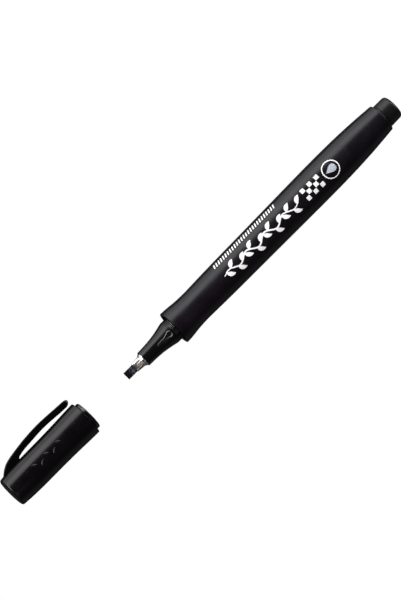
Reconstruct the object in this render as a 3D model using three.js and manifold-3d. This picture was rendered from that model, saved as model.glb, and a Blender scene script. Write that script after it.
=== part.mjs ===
// A broad-tipped calligraphy marker with its cap pulled off and lying in line with it.
//
// Millimetres. +X runs along the marker towards its tail, +Z is up, and the marker lies on z = 0 with its
// pocket clip level, pointing to +Y. The origin is the middle of the footprint of marker and cap together.

import * as THREE from "three";
import { mergeVertices } from "three/addons/utils/BufferGeometryUtils.js";
import Module from "manifold-3d";

// ---- Driving dimensions ----

const SIDES = 16; // flats round every turned piece; one of them lies level, so nothing rolls
const SECTION_POINTS = 24; // round every lofted cross-section

const BARREL_LENGTH = 105.8; // front face to the end of the tail neck
const BARREL_FACE_RADIUS = 6.87; // the widest part of the marker
const TAIL_END = 111.2; // end of the plug, from the barrel's front face

const NOSE_LENGTH = 15.4; // in front of the barrel
const FERRULE_TIP = 19.7; // in front of the barrel
const NIB_TIP = 23.9; // in front of the barrel
const NIB_WIDTH = 3; // the width of the line that it draws

const CAP_LENGTH = 37; // rim to closed end
const LIP_LENGTH = 1.6; // liner standing out of the shell's rim
const CAP_RIM_RADIUS = 6.77;
const CAP_GAP = 18.8; // nib tip to liner lip, with the cap off
const CLIP_REACH = 10.4; // clip's highest point, from the cap's axis
const CLIP_SPLIT = 28.5; // where the springy arm leaves its root, from the rim

const FIT = 0.12; // radial clearance between pieces that fit together
const WALL = 1.0; // usual thickness of a moulded wall

// Places along X, worked out from the lengths above.
const CAP_RIM_TO_FACE = NIB_TIP + CAP_GAP + LIP_LENGTH;
const OVERALL = TAIL_END + CAP_RIM_TO_FACE + CAP_LENGTH;
const FACE_X = OVERALL / 2 - TAIL_END; // the barrel's front face
const RIM_X = FACE_X - CAP_RIM_TO_FACE; // the cap's rim
const AXIS_Y = -(CLIP_REACH - BARREL_FACE_RADIUS) / 2;
const AXIS_Z = BARREL_FACE_RADIUS;

// ---- Helpers ----

const wasm = await Module();
wasm.setup();

// Points are [distance along the axis, distance from it]. A smooth line through a few of them:
function smooth(stations, steps) {
  const curve = new THREE.SplineCurve(stations.map(([x, r]) => new THREE.Vector2(x, r)));
  return curve.getPoints(steps).map((p) => [p.x, p.y]);
}

// A quarter turn of a rounded corner, from one of its ends to the other.
function rounded([startX, startR], [cornerX, cornerR], [endX, endR], steps = 4) {
  const curve = new THREE.QuadraticBezierCurve(
    new THREE.Vector2(startX, startR),
    new THREE.Vector2(cornerX, cornerR),
    new THREE.Vector2(endX, endR),
  );
  return curve.getPoints(steps).map((p) => [p.x, p.y]);
}

// A solid of revolution about X. Its flats, not its corners, are at the stated radius. The outline starts and
// ends on the axis, or is closed into a ring by repeating its first point.
function turned(outline) {
  const spread = 1 / Math.cos(Math.PI / SIDES);
  const points = outline.map(([x, r]) => new THREE.Vector2(r * spread, x));
  const geometry = new THREE.LatheGeometry(points, SIDES, Math.PI / SIDES);
  return geometry.rotateZ(-Math.PI / 2);
}

// A ring-shaped solid: its outside from front to back, then its inside from back to front.
function turnedTube(outside, inside) {
  return turned([...outside, ...inside, outside[0]]);
}

// A cross-section at x, from round (squareness 2) to nearly a rectangle (8).
function section(x, halfWidth, halfThickness, squareness) {
  const points = [];
  for (let i = 0; i < SECTION_POINTS; i += 1) {
    const angle = ((i + 0.5) / SECTION_POINTS) * 2 * Math.PI;
    const across = Math.cos(angle);
    const up = Math.sin(angle);
    const y = halfWidth * Math.sign(across) * Math.abs(across) ** (2 / squareness);
    const z = halfThickness * Math.sign(up) * Math.abs(up) ** (2 / squareness);
    points.push([x, y, z]);
  }
  return points;
}

// A skin over successive sections. A tube's sections run along its outside and back along its inside, and
// join up; a rod's run from end to end, and its ends are closed.
function lofted(sections, isTube) {
  const count = sections.length;
  const vertices = sections.flat(2);
  const faces = [];
  const last = isTube ? count : count - 1;
  for (let s = 0; s < last; s += 1) {
    const here = s * SECTION_POINTS;
    const next = ((s + 1) % count) * SECTION_POINTS;
    for (let i = 0; i < SECTION_POINTS; i += 1) {
      const j = (i + 1) % SECTION_POINTS;
      faces.push(here + i, here + j, next + j, here + i, next + j, next + i);
    }
  }
  if (!isTube) {
    const back = (count - 1) * SECTION_POINTS;
    for (let i = 1; i < SECTION_POINTS - 1; i += 1) {
      faces.push(0, i + 1, i);
      faces.push(back, back + i, back + i + 1);
    }
  }
  const geometry = new THREE.BufferGeometry();
  geometry.setAttribute("position", new THREE.Float32BufferAttribute(vertices, 3));
  geometry.setIndex(faces);
  return geometry;
}

// A plate with the given outline in X and Y, its width in Z shrinking along X from one value to another.
function taperedPlate(outline, [startX, startWidth], [endX, endWidth]) {
  const shape = new THREE.Shape(outline.map(([x, y]) => new THREE.Vector2(x, y)));
  const geometry = new THREE.ExtrudeGeometry(shape, { depth: 1, bevelEnabled: false });
  geometry.translate(0, 0, -0.5);
  const position = geometry.getAttribute("position");
  for (let i = 0; i < position.count; i += 1) {
    const along = (position.getX(i) - startX) / (endX - startX);
    const width = THREE.MathUtils.lerp(startWidth, endWidth, THREE.MathUtils.clamp(along, 0, 1));
    position.setZ(i, position.getZ(i) * width);
  }
  return geometry;
}

function toSolid(geometry) {
  const bare = geometry.clone();
  bare.deleteAttribute("normal");
  bare.deleteAttribute("uv");
  const merged = mergeVertices(bare, 1e-4);
  const vertProperties = new Float32Array(merged.getAttribute("position").array);
  const triVerts = new Uint32Array(merged.getIndex().array);
  return new wasm.Manifold(new wasm.Mesh({ numProp: 3, vertProperties, triVerts }));
}

function toGeometry(solid) {
  const mesh = solid.getMesh();
  const geometry = new THREE.BufferGeometry();
  geometry.setAttribute("position", new THREE.Float32BufferAttribute(mesh.vertProperties, 3));
  geometry.setIndex(new THREE.Uint32BufferAttribute(mesh.triVerts, 1));
  return geometry;
}

function piece(name, geometry, { color, roughness, metalness = 0, opacity = 1 }) {
  geometry.computeVertexNormals();
  const material = new THREE.MeshStandardMaterial({
    color,
    roughness,
    metalness,
    opacity,
    transparent: opacity < 1,
  });
  const mesh = new THREE.Mesh(geometry, material);
  mesh.name = name;
  return mesh;
}

// ---- The marker, measured along X from the barrel's front face ----

const LIP_RECESS_RADIUS = 5.82;
const LIP_RECESS_DEPTH = 2.2;
const COLLAR_RADIUS = 4.6; // the nose where the cap seals, and its shank inside the barrel
const SHANK_END = 12.5; // back of the nose, inside the barrel
const MAIN_BORE_RADIUS = 5.2;
const PLUG_BORE_RADIUS = 4.05;
const TAIL_RADIUS = 4.74; // the neck and the plug's head

function barrel() {
  const shoulder = 105.2;
  const outside = [
    [0, LIP_RECESS_RADIUS],
    [0, BARREL_FACE_RADIUS],
    ...smooth([[0.3, 6.86], [2.3, 6.78], [5.3, 6.46], [9.5, 6.19], [16, 6.29], [25, 6.43]], 14),
    ...smooth([[41, 6.59], [60, 6.79], [84, 6.82], [90, 6.62], [96, 6.32], [102, 5.85], [104.5, 5.65]], 14),
    ...rounded([104.7, 5.62], [shoulder, 5.58], [shoulder, 5.15]),
    [shoulder, TAIL_RADIUS],
    [BARREL_LENGTH, TAIL_RADIUS],
  ];
  const inside = [
    [BARREL_LENGTH, PLUG_BORE_RADIUS],
    [99, PLUG_BORE_RADIUS],
    [97, MAIN_BORE_RADIUS],
    [SHANK_END + 1, MAIN_BORE_RADIUS],
    [SHANK_END + 1, COLLAR_RADIUS + FIT],
    [LIP_RECESS_DEPTH, COLLAR_RADIUS + FIT],
    [LIP_RECESS_DEPTH, LIP_RECESS_RADIUS],
  ];
  return turnedTube(outside, inside);
}

// A hollow stopper: a shank inside the barrel and a round-cornered head behind its neck.
function endPlug() {
  const shankFront = 97.3;
  const shankRadius = PLUG_BORE_RADIUS - FIT;
  const headFront = BARREL_LENGTH + FIT;
  const cornerRadius = 1.2;
  const headEndRadius = 4.64;
  const outside = [
    [shankFront, shankRadius - WALL],
    [shankFront, shankRadius],
    [headFront, shankRadius],
    [headFront, TAIL_RADIUS],
    ...rounded(
      [TAIL_END - cornerRadius, headEndRadius],
      [TAIL_END, headEndRadius],
      [TAIL_END, headEndRadius - cornerRadius],
    ),
    [TAIL_END, 0],
  ];
  const hollow = [
    [TAIL_END - WALL, 0],
    [TAIL_END - WALL, shankRadius - WALL],
  ];
  return turned([...hollow, ...outside]);
}

// The nose: a waisted cone, a fine ring groove, the sealing collar, and a shank inside the barrel.
const FERRULE_SEAT_RADIUS = 2.75;
const FERRULE_SEAT_BACK = -9;
const NIB_SHANK_RADIUS = 1.2;

function noseBody() {
  const grooveX = -2.2;
  const grooveDepth = 0.14;
  const outside = [
    [-NOSE_LENGTH, FERRULE_SEAT_RADIUS],
    [-NOSE_LENGTH, 2.96],
    ...smooth([[-15.3, 3.02], [-12.6, 3.1], [-9.6, 3.27], [-6.6, 3.66], [-3.7, 4.27], [-2.35, 4.57]], 14),
    [grooveX - 0.05, COLLAR_RADIUS - grooveDepth],
    [grooveX + 0.05, COLLAR_RADIUS - grooveDepth],
    [grooveX + 0.15, COLLAR_RADIUS],
    [SHANK_END, COLLAR_RADIUS],
  ];
  const inside = [
    [SHANK_END, COLLAR_RADIUS - WALL],
    [4, COLLAR_RADIUS - WALL],
    [1, NIB_SHANK_RADIUS + FIT],
    [FERRULE_SEAT_BACK, NIB_SHANK_RADIUS + FIT],
    [FERRULE_SEAT_BACK, FERRULE_SEAT_RADIUS],
  ];
  return turnedTube(outside, inside);
}

// The vent is a teardrop: a round bulb just in front of the groove, drawn out into a thin line.
function ventCutter() {
  const bulbX = -3.2;
  const bulbRadius = 0.87;
  const tailX = -9.3;
  const tailHalfWidth = 0.17;
  const offset = -0.25;
  const slope = THREE.MathUtils.degToRad(10);
  const floorHeight = 3.95; // of the cut, over the marker's axis, at the bulb
  const outline = new THREE.Shape();
  outline.moveTo(tailX - bulbX, tailHalfWidth);
  outline.bezierCurveTo(-3.4, tailHalfWidth, -1.9, bulbRadius, 0, bulbRadius);
  outline.absarc(0, 0, bulbRadius, Math.PI / 2, -Math.PI / 2, true);
  outline.bezierCurveTo(-1.9, -bulbRadius, -3.4, -tailHalfWidth, tailX - bulbX, -tailHalfWidth);
  const cutter = new THREE.ExtrudeGeometry(outline, { depth: 3, bevelEnabled: false, curveSegments: 8 });
  return cutter.rotateY(-slope).translate(bulbX, offset, floorHeight);
}

function noseSection() {
  return toGeometry(toSolid(noseBody()).subtract(toSolid(ventCutter())));
}

// A metal sleeve, round in the nose and crimped flat round the nib.
function nibFerrule() {
  const wall = 0.18;
  const stations = [
    [-FERRULE_TIP, NIB_WIDTH / 2 + 0.24, 0.92, 6],
    [-18.2, 1.88, 1.35, 4],
    [-16.5, 2.08, 1.95, 2.4],
    [-15.6, 2.6, 2.6, 2],
    [FERRULE_SEAT_BACK - FIT, 2.6, 2.6, 2],
  ];
  const outside = stations.map((s) => section(...s));
  const inside = stations.map(([x, halfWidth, halfThickness, squareness]) =>
    section(x, halfWidth - wall, halfThickness - wall, squareness),
  );
  return lofted([...outside, ...inside.reverse()], true);
}

// A felt nib: a flat blade cut to a chisel edge, on a round shank that reaches into the reservoir.
const NIB_BACK = 19;

function chiselNib() {
  const halfWidth = NIB_WIDTH / 2;
  const halfThickness = 0.64;
  return lofted(
    [
      section(-NIB_TIP, halfWidth, 0.17, 8),
      section(-NIB_TIP + 1.7, halfWidth, halfThickness, 8),
      section(-FERRULE_TIP + 0.8, halfWidth, halfThickness, 8),
      section(-16.2, NIB_SHANK_RADIUS, NIB_SHANK_RADIUS, 2),
      section(NIB_BACK, NIB_SHANK_RADIUS, NIB_SHANK_RADIUS, 2),
    ],
    false,
  );
}

// A fibre rod with a socket in its front end for the nib's shank.
const RESERVOIR_FRONT = 14;
const RESERVOIR_BACK = 96.5;
const RESERVOIR_RADIUS = 4.3;

function inkReservoir() {
  const socketRadius = NIB_SHANK_RADIUS + 2 * FIT;
  const socketBack = NIB_BACK + 1;
  return turned([
    [socketBack, 0],
    [socketBack, socketRadius],
    [RESERVOIR_FRONT, socketRadius],
    [RESERVOIR_FRONT, RESERVOIR_RADIUS],
    [RESERVOIR_BACK, RESERVOIR_RADIUS],
    [RESERVOIR_BACK, 0],
  ]);
}

function reservoirFilm() {
  const inner = RESERVOIR_RADIUS + FIT;
  const outer = inner + 0.2;
  return turnedTube(
    [[RESERVOIR_FRONT, inner], [RESERVOIR_FRONT, outer], [RESERVOIR_BACK, outer]],
    [[RESERVOIR_BACK, inner]],
  );
}

// ---- The cap, measured from its rim towards its closed end, which is towards -X ----

const SHELL_BORE_MOUTH = 5.86;
const SHELL_BORE = 5.45;
const LINER_LIP_RADIUS = 5.62;
const LINER_BORE = 4.75; // seals on the nose's collar, or on the plug when the cap is posted
const LINER_BODY_BORE = 4.2;

// Turns a list of distances from the rim into places along X, front of the cap first.
function fromRim(points) {
  return points.map(([distance, r]) => [-distance, r]).reverse();
}

function capShellBody() {
  const outside = fromRim([
    [0, SHELL_BORE_MOUTH],
    [0, CAP_RIM_RADIUS],
    ...smooth([[2, 6.76], [7, 6.6], [14, 6.4], [22, 6.35], [30, 6.27], [33.7, 6.1], [35.4, 5.92]], 14),
    ...rounded([35.6, 5.9], [CAP_LENGTH, 5.7], [CAP_LENGTH, 4.6], 5),
    [CAP_LENGTH, 0],
  ]);
  const inside = [
    [0, SHELL_BORE_MOUTH],
    [3, SHELL_BORE_MOUTH],
    [9, SHELL_BORE],
    [32, SHELL_BORE - 0.15],
    [35.2, 4.9],
    [35.2, 0],
  ].map(([distance, r]) => [-distance, r]);
  return turned([...outside, ...inside.slice(1)]);
}

// The clip's outline, from its root on the cap, over its back, round its tip and along its underside.
const CLIP_ROOT_WIDTH = 4.2;
const CLIP_TIP_WIDTH = 3.2;

function clipPlate(outline) {
  const points = outline.map(([distance, y]) => [-distance, y]);
  return taperedPlate(points, [-CLIP_SPLIT, CLIP_ROOT_WIDTH], [0, CLIP_TIP_WIDTH]);
}

function clipRoot() {
  const edge = CLIP_SPLIT + 0.3;
  return clipPlate([
    [edge, 5.9],
    [edge, 9.12],
    ...smooth([[29.2, 9.04], [31.3, 8.28], [33, 7.2], [34.7, 6]], 6),
  ]);
}

function capShell() {
  return toGeometry(toSolid(capShellBody()).add(toSolid(clipRoot())));
}

function pocketClip() {
  return clipPlate([
    [CLIP_SPLIT, 6.66],
    [CLIP_SPLIT, 9.17],
    ...smooth([[27.1, 9.39], [22.8, 9.88], [18.6, 10.25], [13.2, CLIP_REACH], [9, 10.2], [1.5, 9.6]], 14),
    ...rounded([0.9, 9.45], [0.2, 9.2], [0.46, 8.35]),
    [1.5, 7.54],
    ...smooth([[2.6, 7.25], [4.7, 7.44], [9, 7.79], [13.6, 7.98], [19.6, 7.68], [24.9, 7.2]], 12),
    [26.4, 6.66],
  ]);
}

// The inner cap: a thimble whose lip stands out of the shell and whose mouth grips the nose's collar.
function capLiner() {
  const outside = fromRim([
    [-LIP_LENGTH, LINER_BORE],
    [-LIP_LENGTH, LINER_LIP_RADIUS - 0.15],
    [-LIP_LENGTH + 0.15, LINER_LIP_RADIUS],
    [3, LINER_LIP_RADIUS],
    [8, 5.2],
    [29, 5.1],
    [30, 4.2],
    [30, 0],
  ]);
  const inside = [
    [6.5, LINER_BORE],
    [8, LINER_BODY_BORE],
    [28.8, LINER_BODY_BORE],
    [28.8, 0],
  ].map(([distance, r]) => [-distance, r]);
  return turned([...outside, ...inside]);
}

// ---- Assembly ----

const mattBlack = { color: 0x1d1b1e, roughness: 0.5 };
const satinBlack = { color: 0x19171a, roughness: 0.32 };
const glossBlack = { color: 0x0c0b0d, roughness: 0.12 };
const polishedMetal = { color: 0xd6d1c9, roughness: 0.18, metalness: 1 };
const blackFelt = { color: 0x17161a, roughness: 0.95 };
const inkedFibre = { color: 0x141318, roughness: 1 };
const clearFilm = { color: 0xe6e8ea, roughness: 0.2, opacity: 0.5 };

const marker = new THREE.Group();
marker.position.set(FACE_X, AXIS_Y, AXIS_Z);
marker.add(
  piece("barrel", barrel(), mattBlack),
  piece("end_plug", endPlug(), glossBlack),
  piece("nose_section", noseSection(), glossBlack),
  piece("nib_ferrule", nibFerrule(), polishedMetal),
  piece("chisel_nib", chiselNib(), blackFelt),
  piece("ink_reservoir", inkReservoir(), inkedFibre),
  piece("reservoir_film", reservoirFilm(), clearFilm),
);

const cap = new THREE.Group();
cap.position.set(RIM_X, AXIS_Y, AXIS_Z);
cap.add(
  piece("cap_shell", capShell(), satinBlack),
  piece("cap_liner", capLiner(), satinBlack),
  piece("pocket_clip", pocketClip(), satinBlack),
);

const assembly = new THREE.Group();
assembly.add(marker, cap);

export default assembly;
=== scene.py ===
"""Looks for a black calligraphy marker that lies beside its pulled-off cap.

Outlines are in millimetres: distance along the marker or the cap first, then radius or height over its axis.
Blender's objects are in metres, in the CAD model's own frame. Places come from the CAD nodes' boxes.
"""

import math

import bmesh
import bpy
import numpy as np
from mathutils import Matrix, Vector


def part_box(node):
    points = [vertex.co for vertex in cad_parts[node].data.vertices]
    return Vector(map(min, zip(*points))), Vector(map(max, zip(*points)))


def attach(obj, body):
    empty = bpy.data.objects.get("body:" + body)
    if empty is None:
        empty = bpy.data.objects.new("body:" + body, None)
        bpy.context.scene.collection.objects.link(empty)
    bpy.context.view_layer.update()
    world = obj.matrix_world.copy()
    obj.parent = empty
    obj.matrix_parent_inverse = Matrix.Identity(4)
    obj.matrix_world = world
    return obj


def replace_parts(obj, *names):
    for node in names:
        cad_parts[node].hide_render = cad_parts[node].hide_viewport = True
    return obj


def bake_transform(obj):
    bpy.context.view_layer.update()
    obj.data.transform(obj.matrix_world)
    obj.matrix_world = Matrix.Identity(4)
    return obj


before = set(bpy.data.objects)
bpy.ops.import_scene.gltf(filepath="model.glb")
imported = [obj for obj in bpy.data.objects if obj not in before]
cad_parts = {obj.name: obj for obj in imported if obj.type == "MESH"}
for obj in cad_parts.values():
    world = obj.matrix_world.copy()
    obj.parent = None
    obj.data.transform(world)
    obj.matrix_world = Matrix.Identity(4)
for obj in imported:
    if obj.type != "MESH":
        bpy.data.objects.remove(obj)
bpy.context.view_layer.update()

MM = 0.001

# ---- Places, from the CAD model ----

LOW, HIGH = 0, 1
barrel_low, barrel_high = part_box("barrel")
shell_low, shell_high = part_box("cap_shell")
FACE_X = barrel_low.x  # the barrel's front face
RIM_X = shell_high.x  # the cap's rim
AXIS_Y = (barrel_low.y + barrel_high.y) / 2
AXIS_Z = (barrel_low.z + barrel_high.z) / 2


def end_of(node, end):
    """How far a node's low or high end lies behind the barrel's front face, in millimetres."""
    return (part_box(node)[end].x - FACE_X) / MM


def radius_of(node):
    """A round node's largest radius, in millimetres."""
    return (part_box(node)[HIGH].z - AXIS_Z) / MM


def reach_across(node):
    """How far a node reaches from the axis towards the clip's side, in millimetres."""
    return (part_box(node)[HIGH].y - AXIS_Y) / MM


BARREL_LENGTH = end_of("barrel", HIGH)
FACE_RADIUS = radius_of("barrel")
TAIL_END = end_of("end_plug", HIGH)
TAIL_RADIUS = radius_of("end_plug")
NOSE_FRONT = end_of("nose_section", LOW)
SHANK_END = end_of("nose_section", HIGH)
COLLAR_RADIUS = radius_of("nose_section")
FERRULE_FRONT = end_of("nib_ferrule", LOW)
FERRULE_BACK = end_of("nib_ferrule", HIGH)
NIB_FRONT = end_of("chisel_nib", LOW)
NIB_BACK = end_of("chisel_nib", HIGH)
NIB_HALF_WIDTH = reach_across("chisel_nib")
CAP_LENGTH = (RIM_X - shell_low.x) / MM
RIM_RADIUS = (AXIS_Z - shell_low.z) / MM
LIP_LENGTH = (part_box("cap_liner")[HIGH].x - RIM_X) / MM
LINER_LENGTH = (RIM_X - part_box("cap_liner")[LOW].x) / MM
LIP_RADIUS = radius_of("cap_liner")
CLIP_REACH = reach_across("pocket_clip")


# ---- Outlines ----

def spline(stations, count):
    """A natural cubic through (distance, radius) stations, as count points."""
    x, y = np.array(stations, float).T
    gap = np.diff(x)
    rise = np.diff(y) / gap
    size = len(x)
    system = np.eye(size)
    right = np.zeros(size)
    for i in range(1, size - 1):
        system[i, i - 1 : i + 2] = gap[i - 1], 2 * (gap[i - 1] + gap[i]), gap[i]
        right[i] = 3 * (rise[i] - rise[i - 1])
    bend = np.linalg.solve(system, right)
    slope = rise - gap * (2 * bend[:-1] + bend[1:]) / 3
    twist = np.diff(bend) / (3 * gap)
    at = np.linspace(x[0], x[-1], count)
    k = np.clip(np.searchsorted(x, at, side="right") - 1, 0, size - 2)
    t = at - x[k]
    return list(zip(at, y[k] + t * (slope[k] + t * (bend[k] + t * twist[k]))))


def on_line(v, points):
    """The height at a distance, on straight lines between (distance, height) points."""
    return np.interp(v, *np.array(points).T)


def softened(corners, steps=5):
    """An outline whose corners (distance, radius, edge radius) are rounded."""
    points = []
    last = len(corners) - 1
    for i, corner in enumerate(corners):
        here = Vector(corner[:2])
        edge = corner[2] if len(corner) > 2 else 0
        if edge == 0 or i in (0, last):
            points.append(tuple(here))
            continue
        before = Vector(corners[i - 1][:2]) - here
        after = Vector(corners[i + 1][:2]) - here
        start = here + before.normalized() * min(edge, before.length / 2)
        end = here + after.normalized() * min(edge, after.length / 2)
        for k in range(steps + 1):
            t = k / steps
            points.append(tuple((1 - t) ** 2 * start + 2 * t * (1 - t) * here + t * t * end))
    return points


def from_rim(points):
    """Distances from the cap's rim as places along +X from it, closed end first."""
    return [(-p[0], *p[1:]) for p in reversed(points)]


# ---- Meshes ----

JOIN_WITHIN = 1e-7  # in metres
SHARP_ANGLE = math.radians(35)
ROUND = 192  # segments round a turned piece
ALL_ROUND = np.linspace(0, 2 * math.pi, ROUND, endpoint=False)


def new_object(name, vertices, faces):
    mesh = bpy.data.meshes.new(name)
    mesh.from_pydata([tuple(v) for v in vertices], [], faces)
    mesh.validate()
    mesh.update()
    piece = bpy.data.objects.new(name, mesh)
    bpy.context.scene.collection.objects.link(piece)
    return piece


def solid(name, vertices, faces):
    """A closed piece. Points that coincide, as on the axis, are joined, and its faces point outwards."""
    piece = new_object(name, vertices, faces)
    work = bmesh.new()
    work.from_mesh(piece.data)
    bmesh.ops.remove_doubles(work, verts=work.verts, dist=JOIN_WITHIN)
    bmesh.ops.recalc_face_normals(work, faces=work.faces)
    work.to_mesh(piece.data)
    work.free()
    piece.data.shade_smooth()
    piece.data.set_sharp_from_angle(angle=SHARP_ANGLE)
    return piece


def grid_faces(rows, columns, wrap_rows=False):
    """Quads over rows of points, each row closed on itself."""
    faces = []
    for r in range(rows if wrap_rows else rows - 1):
        here = r * columns
        following = (r + 1) % rows * columns
        for c in range(columns):
            side = (c + 1) % columns
            faces.append((here + c, here + side, following + side, following + c))
    return faces


def round_axis(origin_x, along, radius, angle):
    """A place in metres, from millimetres along the axis and out from it, and an angle from straight up."""
    out = radius * MM
    return origin_x + along * MM, AXIS_Y + out * math.sin(angle), AXIS_Z + out * math.cos(angle)


def turned(name, outline, origin_x, closed=False, angles=ALL_ROUND):
    """A solid of revolution. Its outline starts and ends on the axis, or is closed into a ring."""
    vertices = [round_axis(origin_x, x, r, a) for x, r in outline for a in angles]
    return solid(name, vertices, grid_faces(len(outline), len(angles), closed))


def oval(half_width, half_thickness, squareness, count):
    """Points of a section from round (2) to nearly a rectangle (8), as (across, up)."""
    a = (np.arange(count) + 0.5) / count * 2 * math.pi
    across = np.sign(np.cos(a)) * np.abs(np.cos(a)) ** (2 / squareness)
    up = np.sign(np.sin(a)) * np.abs(np.sin(a)) ** (2 / squareness)
    return half_width * across, half_thickness * up


def oval_at(x, table, wall, count):
    """The oval at a place, less a wall. Table rows are distance, half width, half thickness, squareness."""
    wide, thick, square = (np.interp(x, table[:, 0], table[:, k]) for k in (1, 2, 3))
    return oval(wide - wall, thick - wall, square, count)


def section(x, across, up, origin_x=FACE_X):
    """A section's points in metres, from millimetres along the axis, across it and up from it."""
    return [(origin_x + x * MM, AXIS_Y + a * MM, AXIS_Z + z * MM) for a, z in zip(across, up)]


def lofted(name, sections, closed=False):
    """A solid through sections in a row, with a face at each end, or closed into a ring."""
    count = len(sections[0])
    vertices = [point for points in sections for point in points]
    faces = grid_faces(len(sections), count, closed)
    if not closed:
        faces += [tuple(range(count)), tuple(range(len(vertices) - count, len(vertices)))]
    return solid(name, vertices, faces)


def dressed(piece, body, slot, material, *nodes):
    """Gives a finished piece its material, body and the CAD nodes that it stands for. Its slot is not used.
    """
    piece.data.materials.append(material)
    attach(piece, body)
    if nodes:
        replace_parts(piece, *nodes)
    return piece


# ---- Materials ----

class Shader:
    """A Principled material with short calls for the nodes that feed it."""

    def __init__(self, name, colour, roughness, **sockets):
        self.material = bpy.data.materials.new(name)
        self.material.use_nodes = True
        self.nodes = self.material.node_tree.nodes
        self.links = self.material.node_tree.links
        self.principled = self.nodes["Principled BSDF"]
        self.principled.inputs["Base Color"].default_value = (*colour, 1)
        self.principled.inputs["Roughness"].default_value = roughness
        for socket, value in sockets.items():
            self.principled.inputs[socket.replace("_", " ")].default_value = value
        self.place = self.nodes.new("ShaderNodeTexCoord").outputs["Object"]

    def stretched(self, x, y, z):
        """Object coordinates scaled apart, for marks that run along an axis."""
        node = self.nodes.new("ShaderNodeMapping")
        node.inputs["Scale"].default_value = (x, y, z)
        self.links.new(self.place, node.inputs["Vector"])
        return node.outputs["Vector"]

    def noise(self, size_mm, detail=2.0, place=None):
        node = self.nodes.new("ShaderNodeTexNoise")
        node.inputs["Scale"].default_value = 1 / (size_mm * MM)
        node.inputs["Detail"].default_value = detail
        self.links.new(place or self.place, node.inputs["Vector"])
        return node.outputs["Fac"]

    def between(self, value, low, high, from_low=0.3, from_high=0.7):
        """A value's range from from_low to from_high, stretched to run from low to high."""
        node = self.nodes.new("ShaderNodeMapRange")
        ends = {"From Min": from_low, "From Max": from_high, "To Min": low, "To Max": high}
        for socket, number in ends.items():
            node.inputs[socket].default_value = number
        self.links.new(value, node.inputs["Value"])
        return node.outputs["Result"]

    def nearness(self, place, reach_mm):
        """1 at a place, falling to 0 at a distance from it."""
        node = self.nodes.new("ShaderNodeVectorMath")
        node.operation = "DISTANCE"
        self.links.new(self.place, node.inputs[0])
        node.inputs[1].default_value = place
        return self.between(node.outputs["Value"], 1, 0, 0, reach_mm * MM)

    def share(self, name):
        """A number from 0 to 1 that the mesh carries at each point."""
        node = self.nodes.new("ShaderNodeAttribute")
        node.attribute_name = name
        return node.outputs["Fac"]

    def product(self, first, second):
        node = self.nodes.new("ShaderNodeMath")
        node.operation = "MULTIPLY"
        self.links.new(first, node.inputs[0])
        self.links.new(second, node.inputs[1])
        return node.outputs["Value"]

    def mixed(self, factor, first, second):
        """One colour turning into another. Each is a colour or a node's output."""
        node = self.nodes.new("ShaderNodeMix")
        node.data_type = "RGBA"
        for socket, colour in zip([s for s in node.inputs if s.type == "RGBA"], (first, second)):
            if isinstance(colour, tuple):
                socket.default_value = (*colour, 1)
            else:
                self.links.new(colour, socket)
        self.links.new(factor, node.inputs["Factor"])
        return [s for s in node.outputs if s.type == "RGBA"][0]

    def bump(self, height, depth_mm, below=None):
        node = self.nodes.new("ShaderNodeBump")
        node.inputs["Strength"].default_value = 1
        node.inputs["Distance"].default_value = depth_mm * MM
        self.links.new(height, node.inputs["Height"])
        if below is not None:
            self.links.new(below, node.inputs["Normal"])
        return node.outputs["Normal"]

    def feed(self, socket, value):
        self.links.new(value, self.principled.inputs[socket])


def shaded(colour, share):
    """A colour made lighter or darker."""
    return tuple(c * share for c in colour)


def moulded(name, colour, roughness, grain_mm, grain_depth_mm, spread=0.05, painted_glint_colour=None, **sockets):
    """Moulded plastic: a fine grain, patches a little duller than others, and faint rubbing along its length.

    Pale, where given, is a painted highlight: a lighter colour on the edges that the mesh marks, where glints
    fall.
    """
    shader = Shader(name, colour, roughness, **sockets)
    patches = shader.noise(5, 3)
    # faint rubbing along the length, used only as bumps
    rubbing_and_painted_glint = shader.noise(0.35, 3, shader.stretched(0.06, 1, 1))
    base = shader.mixed(shader.between(patches, 0, 1), colour, shaded(colour, 1.35))
    # painted highlight: the pale colour laid on the edges that the mesh marks
    if painted_glint_colour:
        base = shader.mixed(shader.share("rubbing_and_painted_glint"), base, painted_glint_colour)
    shader.feed("Base Color", base)
    shader.feed("Roughness", shader.between(patches, roughness - spread, roughness + spread))
    scuffs = shader.bump(rubbing_and_painted_glint, 0.004)
    shader.feed("Normal", shader.bump(shader.noise(grain_mm, 3), grain_depth_mm, below=scuffs))
    return shader.material


def ferrule_metal():
    """Bright plated sheet with fine drawing marks along it and a little warm tarnish."""
    shader = Shader("crimped_metal", (0.82, 0.8, 0.77), 0.2, Metallic=1.0)
    drawn = shader.noise(0.16, 2, shader.stretched(0.04, 1, 1))
    tarnish = shader.noise(0.8, 2, shader.stretched(0.3, 1, 1))
    warm = shader.between(tarnish, 0, 0.7, 0.5, 0.72)
    shader.feed("Base Color", shader.mixed(warm, (0.84, 0.82, 0.8), (0.52, 0.43, 0.38)))
    shader.feed("Roughness", shader.between(drawn, 0.16, 0.3))
    shader.feed("Normal", shader.bump(drawn, 0.004))
    return shader.material


def felt(name, ink, wear_and_painted_glint, wear_and_glint_size_mm, least, spread, glint_spot=None):
    """Bonded fibres along the nib, with paler patches in the ink. The paler part grows as least gets lower.

    Left to fall at random, the patches are worn ink. A place and a reach in millimetres keep them to one
    spot, where they are a painted highlight.
    """
    shader = Shader(name, ink, 0.85, Specular_IOR_Level=0.1)
    fibres = shader.noise(0.07, 4, shader.stretched(0.12, 1, 1))
    patch = shader.noise(wear_and_glint_size_mm, 3)
    # kept to one spot, the paler patches are a painted highlight
    if glint_spot:
        patch = shader.product(shader.between(patch, 0, 1, 0.4, 0.65), shader.nearness(*glint_spot))
    shader.feed("Base Color", shader.mixed(shader.between(patch, 0, 1, least, least + spread), ink, wear_and_painted_glint))
    shader.feed("Roughness", shader.between(fibres, 0.5, 0.95))
    shader.feed("Normal", shader.bump(fibres, 0.05))
    return shader.material


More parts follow.
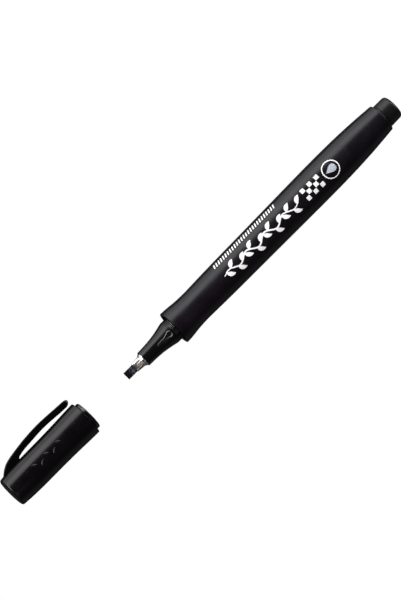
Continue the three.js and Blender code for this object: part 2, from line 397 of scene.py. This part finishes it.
def printing_ink(name, colour):
    """Opaque screen ink, a little thin in tiny speckles."""
    shader = Shader(name, colour, 0.45)
    speckle = shader.noise(0.09, 3)
    thin = shaded(colour, 0.88)
    shader.feed("Base Color", shader.mixed(shader.between(speckle, 0, 1, 0.25, 0.5), thin, colour))
    shader.feed("Normal", shader.bump(speckle, 0.006))
    return shader.material


def clear_film():
    """Clear film with soft wrinkles along it."""
    shader = Shader("clear_film", (0.86, 0.88, 0.9), 0.12, Transmission_Weight=0.8, IOR=1.45)
    shader.feed("Normal", shader.bump(shader.noise(1.5, 2, shader.stretched(0.1, 1, 1)), 0.02))
    return shader.material


BARREL_PLASTIC = moulded(
    "barrel_plastic", (0.0028, 0.0014, 0.0034), roughness=0.34, grain_mm=0.26, grain_depth_mm=0.016
)
CAP_PLASTIC = moulded(
    "cap_plastic", (0.0013, 0.0006, 0.0015), roughness=0.25, grain_mm=0.2, grain_depth_mm=0.004, spread=0.03
)
# painted shade: the clip is moulded in one with the cap, and this copy of the cap's plastic is darker and
# less glossy
CLIP_PAINTED_SHADE_PLASTIC = moulded(
    "clip_plastic_painted_shade", (0.0005, 0.0004, 0.0005), roughness=0.22, grain_mm=0.2, grain_depth_mm=0.003,
    spread=0.03, Specular_IOR_Level=0.35,
)
# its pale colour is a painted highlight along the vent's rim
NOSE_PLASTIC = moulded(
    "nose_plastic", (0.0016, 0.0015, 0.0017), roughness=0.22, grain_mm=0.5, grain_depth_mm=0.003,
    spread=0.03, painted_glint_colour=(0.3, 0.27, 0.3),
)
PLUG_PLASTIC = moulded(
    "plug_plastic", (0.0034, 0.0033, 0.0035), roughness=0.38, grain_mm=0.12, grain_depth_mm=0.008, spread=0.03
)
LINER_PLASTIC = moulded(
    "liner_plastic", (0.0014, 0.001, 0.0016), roughness=0.2, grain_mm=0.3, grain_depth_mm=0.003,
    spread=0.04, Specular_IOR_Level=0.9,
)
METAL = ferrule_metal()
NIB_GLINT_PLACE = (FACE_X + (FERRULE_FRONT - 1.1) * MM, AXIS_Y, AXIS_Z + 0.6 * MM)  # where the painted highlight sits, on the nib's top
FELT = felt(
    "nib_felt", ink=(0.0022, 0.0022, 0.0028), wear_and_painted_glint=(0.08, 0.08, 0.105),
    wear_and_glint_size_mm=0.6, least=0.1, spread=0.6, glint_spot=(NIB_GLINT_PLACE, 2.2),
)
FIBRE = felt(
    "inked_fibre", ink=(0.006, 0.006, 0.009), wear_and_painted_glint=(0.014, 0.014, 0.02),
    wear_and_glint_size_mm=3, least=0.5, spread=0.14,
)
WHITE_INK = printing_ink("white_ink", (0.92, 0.92, 0.92))
SILVER_INK = printing_ink("silver_ink", (0.44, 0.49, 0.56))
FILM = clear_film()


# ---- The marker ----

BARREL_STATIONS = [
    (0, FACE_RADIUS), (2.3, 6.78), (5.3, 6.47), (9.5, 6.2), (16, 6.27), (41, 6.6), (66, 6.85),
    (84, 6.8), (96, 6.3), (104.5, 5.64),
]
BARREL_PROFILE = np.array(spline(BARREL_STATIONS, 400))
SHOULDER = 105.2  # where the barrel steps down to its neck
SHOULDER_RADIUS = 5.58
RECESS_RADIUS = 5.82
RECESS_DEPTH = 2.2
FIT = 0.12  # the gap between pieces that fit together
WALL = 1
MAIN_BORE = 5.2
MAIN_BORE_END = 97
PLUG_BORE = 4.05
PLUG_BORE_START = 99
PLUG_FRONT = 97.3


def barrel_radius(u):
    """The barrel's outer radius in millimetres, at each distance behind its front face."""
    return on_line(u, BARREL_PROFILE)


def make_barrel():
    """The waisted barrel, open at both ends, with a recess round the nose and a neck at its tail."""
    sides = spline(BARREL_STATIONS, 150)
    front = softened([
        (RECESS_DEPTH, RECESS_RADIUS), (0, RECESS_RADIUS, 0.12), (0, FACE_RADIUS, 0.08), sides[3],
    ])
    tail = softened([
        sides[-1], (SHOULDER, SHOULDER_RADIUS, 0.5), (SHOULDER, TAIL_RADIUS, 0.12),
        (BARREL_LENGTH, TAIL_RADIUS, 0.1), (BARREL_LENGTH, PLUG_BORE),
    ])
    inside = [
        (PLUG_BORE_START, PLUG_BORE), (MAIN_BORE_END, MAIN_BORE), (SHANK_END + 1, MAIN_BORE),
        (SHANK_END + 1, COLLAR_RADIUS + FIT), (RECESS_DEPTH, COLLAR_RADIUS + FIT),
    ]
    piece = turned("barrel_body", front + sides[4:-1] + tail + inside, FACE_X, closed=True)
    return dressed(piece, "pen", "barrel", BARREL_PLASTIC, "barrel")


def make_plug():
    """The stopper in the barrel's tail, hollow from the front, with a well rounded end."""
    shank = PLUG_BORE - FIT
    head = BARREL_LENGTH + FIT
    outline = softened([
        (TAIL_END - WALL, 0), (TAIL_END - WALL, shank - WALL), (PLUG_FRONT, shank - WALL, 0.1),
        (PLUG_FRONT, shank, 0.3), (head, shank), (head, TAIL_RADIUS, 0.14),
        (TAIL_END, TAIL_RADIUS - 0.1, 1.3), (TAIL_END, 0),
    ], 10)
    return dressed(turned("tail_plug", outline, FACE_X), "pen", "end_plug", PLUG_PLASTIC, "end_plug")


NOSE_STATIONS = [(-15.25, 3.02), (-12.6, 3.1), (-9.6, 3.27), (-6.6, 3.67), (-3.7, 4.27), (-2.35, 4.58)]
NOSE_TIP_RADIUS = 3.0
GROOVE = -2.2
GROOVE_RADIUS = COLLAR_RADIUS - 0.16
FERRULE_SEAT = 2.75
NIB_BORE = 1.32
VENT_BULB = -3.2
VENT_TIP = -9.3
VENT_RADIUS = 0.87
VENT_LINE = 0.12  # half the width of the vent's thin end
VENT_SHOULDER = 0.75  # how much wider it is where it leaves the bulb
VENT_OFFSET = -0.25
VENT_DEPTH = 0.26
VENT_SLOPE_WIDTH = 0.34
VENT_RIM_HEIGHT = 0.1
VENT_RIM_PLACE = 0.6  # how far outside the vent's outline its rim is highest, in slope widths
VENT_RIM_WIDTH = 0.35  # in slope widths too
VENT_FADE = 1.2  # how far the vent takes to reach its full depth from its tip
VENT_SIDE_DEG = 16  # the nose's mesh is finer this far to each side of straight up
RIBS = 3
RIB_DEPTH = 0.11


def within(low, value, high):
    return min(high, max(low, value))


def vent_half_width(x):
    """Half the vent's width at a place along the nose: a round bulb drawn out into a thin line."""
    bulb = math.sqrt(max(0.0, VENT_RADIUS**2 - (x - VENT_BULB) ** 2))
    if x > VENT_BULB:
        return bulb
    along = (VENT_BULB - x) / (VENT_BULB - VENT_TIP)
    if along > 1:
        return 0
    line = VENT_LINE * (1 - along) ** 0.3
    shoulder = VENT_SHOULDER * max(0, 1 - along * 2.2) ** 1.5
    return max(line + shoulder, bulb if along < 0.1 else 0)


def sink_vent(piece):
    """Presses the vent's teardrop into the nose's upper side, with sloping walls and a fine raised rim.

    The rim gets a painted highlight round the bulb, and along the tail on the clip's side, where the light
    falls.
    """
    # how much painted highlight each point of the rim carries
    rubbing_and_painted_glint = piece.data.attributes.new("rubbing_and_painted_glint", "FLOAT", "POINT")
    for vertex in piece.data.vertices:
        x = (vertex.co.x - FACE_X) / MM
        if not VENT_TIP - 0.3 < x < GROOVE or vertex.co.z < AXIS_Z:
            continue
        out = Vector((0, vertex.co.y - AXIS_Y, vertex.co.z - AXIS_Z))
        in_bore = out.length < FERRULE_SEAT * MM
        if in_bore:
            continue
        half_width = vent_half_width(x)
        across = abs(out.y / MM - VENT_OFFSET)
        inside = (half_width - across) / VENT_SLOPE_WIDTH
        inward = within(0, inside + 0.5, 1)
        fade = within(0, (x - VENT_TIP) / VENT_FADE, 1)
        off_rim = (inside + VENT_RIM_PLACE) / VENT_RIM_WIDTH
        rim = math.exp(-(off_rim**2)) * fade * (half_width > 0)
        sunk = inward * inward * (3 - 2 * inward) * VENT_DEPTH * fade
        vertex.co += out.normalized() * (rim * VENT_RIM_HEIGHT - sunk) * MM
        along = within(0, (x - VENT_TIP) / (VENT_BULB - VENT_TIP), 1)
        clip_side = out.y / MM > VENT_OFFSET
        # painted highlight: most at the bulb, and on the lit clip's side of the tail
        rubbing_and_painted_glint.data[vertex.index].value = rim * (max(0.3, along) if clip_side else along**8)


def collar_ribs():
    """Fine turned ribs round the collar, between the groove and the barrel's face."""
    x = np.linspace(GROOVE + 0.4, -0.2, 49)
    height = COLLAR_RADIUS - RIB_DEPTH * np.sin(math.pi * RIBS * np.linspace(0, 1, len(x))) ** 2
    return list(zip(x, height))


def make_nose():
    """The nose cone with its groove, ribbed collar, hollow shank and vent."""
    sides = spline(NOSE_STATIONS, 180)
    front = softened([(NOSE_FRONT, FERRULE_SEAT), (NOSE_FRONT, NOSE_TIP_RADIUS, 0.1), sides[2]])
    collar = softened([
        sides[-1], (GROOVE - 0.08, GROOVE_RADIUS, 0.03), (GROOVE + 0.08, GROOVE_RADIUS, 0.03),
        (GROOVE + 0.16, COLLAR_RADIUS, 0.05), *collar_ribs(), (SHANK_END, COLLAR_RADIUS),
    ])
    inside = [
        (SHANK_END, COLLAR_RADIUS - WALL), (4, COLLAR_RADIUS - WALL), (1, NIB_BORE),
        (FERRULE_BACK + FIT, NIB_BORE), (FERRULE_BACK + FIT, FERRULE_SEAT),
    ]
    side = math.radians(VENT_SIDE_DEG)
    fine = np.linspace(-side, side, 130, endpoint=False)
    coarse = np.linspace(side, 2 * math.pi - side, 150, endpoint=False)
    angles = np.concatenate([fine, coarse])
    piece = turned("nose_cone", front + sides[3:-1] + collar + inside, FACE_X, closed=True, angles=angles)
    sink_vent(piece)
    return dressed(piece, "pen", "nose_section", NOSE_PLASTIC, "nose_section")


# Distance, half width, half thickness and squareness, from the front back.
FERRULE_TABLE = np.array([
    (FERRULE_FRONT, 1.7, 0.89, 4.5), (FERRULE_FRONT + 0.08, 1.74, 0.93, 4.5), (-18.2, 1.86, 1.36, 3.2),
    (-16.6, 2.06, 1.93, 2.3), (-16.35, 2.13, 2.05, 2.2), (-15.75, 2.55, 2.55, 2), (-15.6, 2.6, 2.6, 2),
    (FERRULE_BACK, 2.6, 2.6, 2),
])
FERRULE_WALL = 0.16
CREASES = 10
CREASE_BACK = -16.0
CREASE_DEPTH = 0.11


def crease_depth(x):
    """The creases' depth in millimetres: none in the nose, most half way along the taper."""
    along = within(0, (CREASE_BACK - x) / (CREASE_BACK - FERRULE_FRONT), 1)
    return CREASE_DEPTH * math.sin(math.pi * along**0.8)


def make_ferrule():
    """A sleeve that leaves the nose round and is crimped flat round the nib, with creases along it."""
    seated = np.linspace(FERRULE_BACK, -15.55, 12)
    crimped = np.linspace(-15.6, FERRULE_FRONT, 84)
    places = np.concatenate([seated, crimped])
    sections = []
    for wall, order in ((0, places), (FERRULE_WALL, places[::-1])):
        for x in order:
            across, up = oval_at(x, FERRULE_TABLE, wall, 224)
            crease = crease_depth(x) * np.abs(np.cos(np.arctan2(up, across) * CREASES / 2)) ** 5
            pressed = 1 - crease / np.hypot(across, up)
            sections.append(section(x, across * pressed, up * pressed))
    piece = lofted("ferrule_sleeve", sections, closed=True)
    return dressed(piece, "pen", "nib_ferrule", METAL, "nib_ferrule")


BLADE_BACK = -18.9
NIB_SHANK_FRONT = -16.2
NIB_SHANK = 1.2
NIB_TABLE = np.array([
    (NIB_FRONT, NIB_HALF_WIDTH - 0.07, 0.1, 5), (NIB_FRONT + 0.05, NIB_HALF_WIDTH - 0.02, 0.16, 6),
    (NIB_FRONT + 0.15, NIB_HALF_WIDTH, 0.21, 7), (NIB_FRONT + 1.8, NIB_HALF_WIDTH, 0.62, 7),
    (NIB_FRONT + 2.1, NIB_HALF_WIDTH, 0.64, 7), (BLADE_BACK, NIB_HALF_WIDTH, 0.64, 7),
    (NIB_SHANK_FRONT, NIB_SHANK, NIB_SHANK, 2), (NIB_BACK, NIB_SHANK, NIB_SHANK, 2),
])


def make_nib():
    """A felt blade with a chisel edge, a little soft at its corners, on a round shank."""
    edge = NIB_TABLE[:2, 0]
    blade = np.linspace(NIB_FRONT + 0.1, BLADE_BACK, 90)
    shoulder = np.linspace(BLADE_BACK + 0.3, NIB_SHANK_FRONT, 20)
    places = np.concatenate([edge, blade, shoulder, [0, NIB_BACK]])
    piece = lofted("felt_nib", [section(x, *oval_at(x, NIB_TABLE, 0, 120)) for x in places])
    return dressed(piece, "pen", "chisel_nib", FELT, "chisel_nib")


# ---- The cap ----

SHELL_STATIONS = [(0.15, RIM_RADIUS), (2, 6.75), (7, 6.59), (14, 6.41), (22, 6.35), (30, 6.26), (35.4, 5.96)]
SHELL_PROFILE = np.array(spline(SHELL_STATIONS, 200))
SHELL_BORE_MOUTH = 5.86
SHELL_BORE_END = 35.2
LINER_BORE = 4.75
LINER_SEAL = 6.5  # how far in the tight part of the liner's bore reaches
LINER_INNER_BORE = 4.2
LINER_BORE_END = 28.8
LINER_NECK_RADIUS = LIP_RADIUS - 0.22
LIP_NECK = 0.45  # the liner is a little narrower between its lip and the shell's rim


def shell_radius(v):
    """The shell's outer radius in millimetres, at each distance from its rim."""
    return on_line(v, SHELL_PROFILE)


def shell_radius_at(along):
    """The same at a place along +X from the rim."""
    return shell_radius(-along)


def make_shell():
    """The cap's outer skin, closed at its far end."""
    sides = spline(SHELL_STATIONS, 120)
    end = softened([sides[-1], (CAP_LENGTH, 5.8, 1.35), (CAP_LENGTH, 0)], 12)
    mouth = softened([(3, SHELL_BORE_MOUTH), (0, SHELL_BORE_MOUTH, 0.12), (0, RIM_RADIUS, 0.12), sides[1]])
    outside = from_rim(mouth + sides[2:-1] + end)
    inside = [(-9, 5.45), (-32, 5.3), (-SHELL_BORE_END, 4.9), (-SHELL_BORE_END, 0)]
    piece = turned("cap_body", outside + inside, RIM_X)
    return dressed(piece, "cap", "cap_shell", CAP_PLASTIC, "cap_shell")


def make_liner():
    """The inner cap, whose rounded lip stands out of the shell's rim."""
    outside = from_rim(softened([
        (LINER_SEAL, LINER_BORE), (-LIP_LENGTH, LINER_BORE, 0.25), (-LIP_LENGTH, LIP_RADIUS, 0.7),
        (-LIP_NECK, LIP_RADIUS, 0.3), (-0.12, LINER_NECK_RADIUS, 0.05), (3, LINER_NECK_RADIUS, 0.1),
        (8, 5.2, 0.5), (LINER_LENGTH - WALL, 5.1, 0.4), (LINER_LENGTH, LINER_INNER_BORE, 0.2),
        (LINER_LENGTH, 0),
    ]))
    inside = [(-8, LINER_INNER_BORE), (-LINER_BORE_END, LINER_INNER_BORE), (-LINER_BORE_END, 0)]
    piece = turned("inner_cap", outside + inside, RIM_X)
    return dressed(piece, "liner", "cap_liner", LINER_PLASTIC, "cap_liner")


CLIP_TIP = 0.2
TIP_ROUND = 2.0  # how much of the clip's free end is rounded
SLOT_END = 26  # the slot under the arm starts to close here
ROOT_START = 27.4
ROOT_END = 35
# Distance from the rim, then height over the cap's axis.
CLIP_BACK = spline([
    (0.2, 9.62), (4.7, 9.9), (9, 10.2), (13.2, CLIP_REACH), (18.6, 10.27), (22.8, 9.9), (27.1, 9.32),
    (29.2, 8.95), (31.3, 8.28), (33, 7.3), (34.4, 6.2), (ROOT_END, 5.7),
], 200)
ARM_UNDERSIDE = spline([
    (0.2, 7.28), (4.7, 7.44), (9, 7.79), (13.6, 7.96), (19.6, 7.68), (24.6, 7.2), (25.9, 6.9),
], 150)
ROOT_UNDERSIDE = [(26.4, 6.55), (26.6, 6.0), (27.2, 5.7), (ROOT_END, 5.6)]  # down into the cap's wall
CLIP_HALF_WIDTHS = [(CLIP_TIP, 1.62), (27, 2.05), (33, 2.2), (ROOT_END, 2.5)]


def clip_section(v):
    """The clip's section at a distance from the rim: nearly a rectangle, and rounder at its tip."""
    high = on_line(v, CLIP_BACK)
    low = on_line(v, ARM_UNDERSIDE + ROOT_UNDERSIDE)
    blunt = max(0, 1 - (v - CLIP_TIP) / TIP_ROUND)
    full = math.sqrt(1 - blunt**2)
    half_width = on_line(v, CLIP_HALF_WIDTHS) * (0.4 + 0.6 * full)
    across, up = oval(half_width, (high - low) / 2 * full, 8 - 4 * blunt, 48)
    middle = (high + low) / 2 + 0.35 * blunt**2
    return section(-v, middle + up, across, RIM_X)


def make_clip():
    """The springy clip with its root, moulded in one with the cap."""
    tip = CLIP_TIP + TIP_ROUND * (1 - np.cos(np.linspace(0.05, math.pi / 2, 20)))
    arm = np.linspace(CLIP_TIP + TIP_ROUND + 0.1, SLOT_END, 70)
    slot_end = np.linspace(SLOT_END, ROOT_START, 16)
    root = np.linspace(ROOT_START, ROOT_END, 34)
    places = np.unique(np.concatenate([tip, arm, slot_end, root]))
    piece = lofted("spring_clip", [clip_section(v) for v in places])
    piece.data.materials.append(CLIP_PAINTED_SHADE_PLASTIC)
    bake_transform(piece)
    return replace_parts(piece, "pocket_clip")


# ---- Ornament ----

# Thin films laid round a surface. Their points are distances along it and round it, in millimetres.
FILM_STEP = 0.3  # the widest cell of a film, so that it follows the curve under it
FILM_ROOT = 0.05  # how far a film's underside lies below the surface
PRINT_LIFT = 0.02


def film_faces(rows, columns, loop):
    """Faces of a film whose upper grid is followed by its lower one. A loop has no walls at its ends."""
    under = rows * columns
    faces = []
    for r in range(rows - 1):
        for i in range(columns - 1):
            corner = r * columns + i
            top = (corner, corner + columns, corner + columns + 1, corner + 1)
            faces += [top, tuple(under + v for v in reversed(top))]
    walls = [range(columns), range(under - columns, under)]
    if not loop:
        walls += [range(0, under, columns), range(columns - 1, under, columns)]
    for wall in walls:
        for here, following in zip(wall, wall[1:]):
            faces.append((here, under + here, under + following, following))
    return faces


def laid(name, edges, radius_at, origin_x, turn, lift_mm, crown=0.0):
    """A thin raised film between two edges, wrapped round a turned piece.

    A crown of 1 domes it down to nothing at its edges.
    """
    left, right = (np.array(edge, float) for edge in edges)
    widest = np.linalg.norm(left - right, axis=1).max()
    rows = (9 if crown else 2) + int(widest / FILM_STEP)
    vertices = []
    for lift, dome in ((lift_mm, crown), (-FILM_ROOT, 0)):
        for share in np.linspace(0, 1, rows):
            height = lift * (1 - dome * (2 * share - 1) ** 2)
            for along, around in left + (right - left) * share:
                r = float(radius_at(along)) + height
                vertices.append(round_axis(origin_x, along, r, turn + around / r))
    loop = np.allclose(left[0], left[-1])
    return solid(name, vertices, film_faces(rows, len(left), loop))


def ribbon(path, widths):
    """The two edges of a line drawn along a path, as wide as widths says."""
    path = np.array(path, float)
    heading = np.gradient(path, axis=0)
    heading /= np.linalg.norm(heading, axis=1)[:, None]
    sideways = np.stack([-heading[:, 1], heading[:, 0]], axis=1)
    reach = sideways * np.broadcast_to(widths, len(path))[:, None] / 2
    return path + reach, path - reach


def leaf(base, heading_deg, bend_deg, length, width, count=26):
    """A pointed leaf that grows from base and bends as it goes."""
    t = np.linspace(0, 1, count)
    heading = np.radians(heading_deg + bend_deg * t)
    steps = np.stack([np.cos(heading), np.sin(heading)], axis=1) * length / (count - 1)
    path = np.array(base) + np.cumsum(steps, axis=0) - steps[0]
    return ribbon(path, 0.06 + width * np.sin(math.pi * t) ** 0.85 * (1.15 - 0.3 * t))


def wave(start, end, height, swings, count=160):
    """A wave that fades out at both of its ends."""
    t = np.linspace(0, 1, count)
    fade = np.sin(math.pi * t) ** 0.3
    around = height * fade * np.sin(2 * math.pi * swings * t)
    return np.stack([start + (end - start) * t, around], axis=1)


def block(centre, side):
    """A square."""
    x, y = centre
    t = np.linspace(x - side / 2, x + side / 2, 8)
    return [(u, y + side / 2) for u in t], [(u, y - side / 2) for u in t]


def slanted_bar(start, thickness, height, slant):
    """A short bar across the marker, leaning along it."""
    y = np.linspace(-height / 2, height / 2, 10)
    near = np.stack([start + slant * y, y], axis=1)
    return near, near + (thickness, 0)


def ring(centre, radius, thickness, count=120):
    turns = np.linspace(0, 2 * math.pi, count)
    outline = np.stack([np.cos(turns), np.sin(turns)], axis=1)
    return centre + outline * (radius + thickness / 2), centre + outline * (radius - thickness / 2)


DROP_SWELL = 2.9  # makes the drop as wide as it says


def drop(tip, length, width, count=40):
    """An ink drop: a point that swells into a round end."""
    t = np.linspace(0, 1, count)
    path = np.stack([tip + length * t, np.zeros(count)], axis=1)
    return ribbon(path, width * DROP_SWELL * t**1.3 * np.sqrt(1 - t))


def print_on_barrel(name, edges, ink, turn=0.0):
    piece = laid(name, edges, barrel_radius, FACE_X, turn, PRINT_LIFT)
    return dressed(piece, "pen", "print_ink", ink)


def print_vine():
    """A leafy stem along the barrel, where the largest print is."""
    stem = wave(start=24.6, end=61.6, height=1.1, swings=4)
    widths = 0.1 + 0.48 * np.sin(math.pi * np.linspace(0, 1, len(stem))) ** 0.25
    print_on_barrel("vine_stem", ribbon(stem, widths), WHITE_INK)
    leaves = 16
    for i in range(leaves):
        side = 1 if i % 2 else -1
        base = stem[int((i + 0.6) / leaves * len(stem))]
        edges = leaf(base, heading_deg=side * 74, bend_deg=-side * 62, length=3.5, width=1.5)
        print_on_barrel(f"vine_leaf_{i + 1:02d}", edges, WHITE_INK)


def print_checks():
    """A checkered mark of five columns and three rows."""
    start = 65.4
    cell = 1.72
    gap = 0.12
    cells = [(i, j) for i in range(5) for j in (-1, 0, 1) if (i + j) % 2]
    for k, (i, j) in enumerate(cells):
        print_on_barrel(f"check_{k + 1}", block((start + i * cell, j * cell), cell - gap), WHITE_INK)


def print_border():
    """A row of slanted bars beside the vine, towards the clip's side."""
    start = 24.5
    pitch = 1.15
    turn = math.radians(51)
    for i in range(27):
        bar = slanted_bar(start + i * pitch, thickness=0.5, height=2.0, slant=0.35)
        print_on_barrel(f"border_{i + 1:02d}", bar, WHITE_INK, turn)


def make_print():
    """Plain ornament where the barrel carries its print: a vine, checks, an ink drop and a border."""
    print_vine()
    print_checks()
    print_on_barrel("drop_ring", ring(centre=(78, 0), radius=3.25, thickness=0.4), WHITE_INK)
    print_on_barrel("ink_drop", drop(tip=75.6, length=4.6, width=2.9), SILVER_INK)
    print_border()


def make_emboss():
    """Five small raised leaves in the cap's own plastic, along its upper side."""
    start = -12.4
    pitch = 2.9
    for i in range(5):
        lean = 35 if i % 2 else -35
        sprig = leaf((start - i * pitch, 0.5), heading_deg=180 + lean, bend_deg=0, length=2.5, width=0.8)
        piece = laid(f"cap_sprig_{i + 1}", sprig, shell_radius_at, RIM_X, turn=0, lift_mm=0.2, crown=1.0)
        dressed(piece, "cap", "cap_shell", CAP_PLASTIC)


# ---- Inside the barrel ----

RESERVOIR_FRONT = end_of("ink_reservoir", LOW)
RESERVOIR_BACK = end_of("ink_reservoir", HIGH)
RESERVOIR_RADIUS = radius_of("ink_reservoir")
FILM_RADIUS = radius_of("reservoir_film")
FILM_THICKNESS = 0.2
SOCKET_RADIUS = 1.44
SOCKET_END = 20  # how far back the nib's shank may reach into the rod
FLUTES = 90
FLUTE_DEPTH = 0.08


def make_rod():
    """The fibre rod that holds the ink, with a socket for the nib's shank and fine flutes along it."""
    outline = softened([
        (SOCKET_END, 0), (SOCKET_END, SOCKET_RADIUS, 0.1), (RESERVOIR_FRONT, SOCKET_RADIUS, 0.1),
        (RESERVOIR_FRONT, RESERVOIR_RADIUS, 0.25), (RESERVOIR_BACK, RESERVOIR_RADIUS, 0.25),
        (RESERVOIR_BACK, 0),
    ])
    rod = turned("fibre_rod", outline, FACE_X)
    for vertex in rod.data.vertices:
        out = Vector((0, vertex.co.y - AXIS_Y, vertex.co.z - AXIS_Z))
        on_outside = out.length > (RESERVOIR_RADIUS - 0.3) * MM
        if on_outside:
            depth = FLUTE_DEPTH * (1 + math.cos(FLUTES * math.atan2(out.y, out.z))) / 2
            vertex.co -= out.normalized() * depth * MM
    return dressed(rod, "pen", "ink_reservoir", FIBRE, "ink_reservoir")


def make_wrap():
    """The film wrapped round the rod."""
    inner = FILM_RADIUS - FILM_THICKNESS
    outline = [
        (RESERVOIR_FRONT, inner), (RESERVOIR_FRONT, FILM_RADIUS),
        (RESERVOIR_BACK, FILM_RADIUS), (RESERVOIR_BACK, inner),
    ]
    wrap = turned("film_wrap", outline, FACE_X, closed=True)
    return dressed(wrap, "pen", "reservoir_film", FILM, "reservoir_film")


# ---- Floor, lights and camera ----

TILT = math.radians(8.5)  # the lens leans towards the nib's end
ROLL = math.radians(45.42)  # the marker runs up to the right
PIXELS_PER_MM = 2.86
FRAME_HEIGHT_PIXELS = 601
LENS_MM = 300
SENSOR_MM = 36
AIM_MM = (-1.42, 0.2)  # what the middle of the picture shows, along the marker and across it


def make_camera():
    data = bpy.data.cameras.new("camera")
    data.lens = LENS_MM
    data.sensor_width = SENSOR_MM
    data.clip_end = 20
    distance = LENS_MM * FRAME_HEIGHT_PIXELS / (SENSOR_MM * PIXELS_PER_MM) * MM
    camera = bpy.data.objects.new("camera", data)
    bpy.context.scene.collection.objects.link(camera)
    back = Vector((-math.sin(TILT), 0, math.cos(TILT)))
    along = Vector((math.cos(TILT), 0, math.sin(TILT)))
    across = Vector((0, 1, 0))
    right = math.cos(ROLL) * along - math.sin(ROLL) * across
    up = math.sin(ROLL) * along + math.cos(ROLL) * across
    middle = Vector((AIM_MM[0] * MM, AXIS_Y + AIM_MM[1] * MM, AXIS_Z))
    turn = Matrix((right, up, back)).transposed()
    camera.matrix_world = Matrix.Translation(middle + back * distance) @ turn.to_4x4()
    bpy.context.scene.camera = camera


def glowing(name):
    """An even white that takes no light or shadow."""
    material = bpy.data.materials.new(name)
    material.use_nodes = True
    principled = material.node_tree.nodes["Principled BSDF"]
    principled.inputs["Base Color"].default_value = (0, 0, 0, 1)
    principled.inputs["Roughness"].default_value = 1
    principled.inputs["Specular IOR Level"].default_value = 0
    principled.inputs["Emission Color"].default_value = (1, 1, 1, 1)
    principled.inputs["Emission Strength"].default_value = 1
    return material


TABLE_HALF = 1.6  # in metres, like the dome's radius
TABLE_Z = -0.02 * MM
DOME_RADIUS = 3


def dome_point(rise, turn):
    level = DOME_RADIUS * math.cos(rise)
    return level * math.cos(turn), level * math.sin(turn), DOME_RADIUS * math.sin(rise)


def make_stage():
    """A white table and a white dome. Neither shows in the gloss or lights the marker."""
    sides = [(-1, -1), (1, -1), (1, 1), (-1, 1)]
    corners = [(x * TABLE_HALF, y * TABLE_HALF, TABLE_Z) for x, y in sides]
    table = new_object("table", corners, [(0, 1, 2, 3)])
    turns = np.linspace(0, 2 * math.pi, 48, endpoint=False)
    rises = np.linspace(-0.2, math.pi / 2, 24)
    dome_points = [dome_point(rise, turn) for rise in rises for turn in turns]
    dome = new_object("dome", dome_points, grid_faces(len(rises), len(turns)))
    for backdrop in (table, dome):
        backdrop.data.materials.append(glowing(backdrop.name + "_white"))
        backdrop.visible_glossy = False
        backdrop.visible_diffuse = False
        backdrop.visible_shadow = False


def softbox(name, direction, distance, size, radiance, colour=(1, 1, 1)):
    """A rectangular light that faces the marker. Its size is (level side, other side)."""
    data = bpy.data.lights.new(name, "AREA")
    data.shape = "RECTANGLE"
    data.size, data.size_y = size
    data.energy = radiance * math.pi * size[0] * size[1]
    data.color = colour
    lamp = bpy.data.objects.new(name, data)
    lamp.location = Vector(direction).normalized() * distance
    lamp.rotation_euler = (-lamp.location).to_track_quat("-Z", "Y").to_euler()
    bpy.context.scene.collection.objects.link(lamp)
    return lamp


def side_softbox(name, high_deg, low_deg, radiance):
    """A long light beside the marker, on the clip's side, that fills a range of angles from straight up."""
    distance = 0.5
    middle = math.radians((high_deg + low_deg) / 2)
    height = 2 * distance * math.tan(math.radians(low_deg - high_deg) / 2)
    softbox(name, (0, math.sin(middle), math.cos(middle)), distance, (1.1, height), radiance)


def make_lights():
    """Two long lights shade the plastic from its crest to its edge, and two catch the ferrule and the plug.

    The one overhead is crossed with a polarising filter: it lights the print and the felt, but no gloss.
    Two dim cards fill in the far side and warm the metal.
    """
    side_softbox("key_softbox", high_deg=42, low_deg=78, radiance=1.3)
    side_softbox("low_softbox", high_deg=42, low_deg=113, radiance=1.1)
    softbox("nib_softbox", direction=(-0.8, 0.4, 0.45), distance=0.8, size=(0.5, 0.35), radiance=6)
    softbox("tail_softbox", direction=(0.93, 0.1, 0.37), distance=0.8, size=(0.6, 0.3), radiance=4)
    polarised = softbox("polarised_top", direction=(0, 0, 1), distance=0.8, size=(1, 1), radiance=1.5)
    polarised.visible_glossy = False
    softbox("far_card", direction=(0.1, -0.95, -0.3), distance=0.5, size=(1, 0.4), radiance=0.07)
    warm = (1, 0.8, 0.7)
    softbox("warm_card", (-0.6, -0.5, 0.6), distance=0.5, size=(0.25, 0.4), radiance=0.5, colour=warm)


def make_world():
    world = bpy.data.worlds.new("studio")
    world.use_nodes = True
    background = world.node_tree.nodes["Background"]
    background.inputs["Color"].default_value = (1, 1, 1, 1)
    background.inputs["Strength"].default_value = 0.035
    bpy.context.scene.world = world
    bpy.context.scene.view_settings.view_transform = "Standard"


def main():
    make_camera()
    make_barrel()
    make_plug()
    make_nose()
    make_ferrule()
    make_nib()
    make_rod()
    make_wrap()
    make_shell()
    make_liner()
    make_clip()
    make_emboss()
    make_print()
    make_stage()
    make_lights()
    make_world()


main()
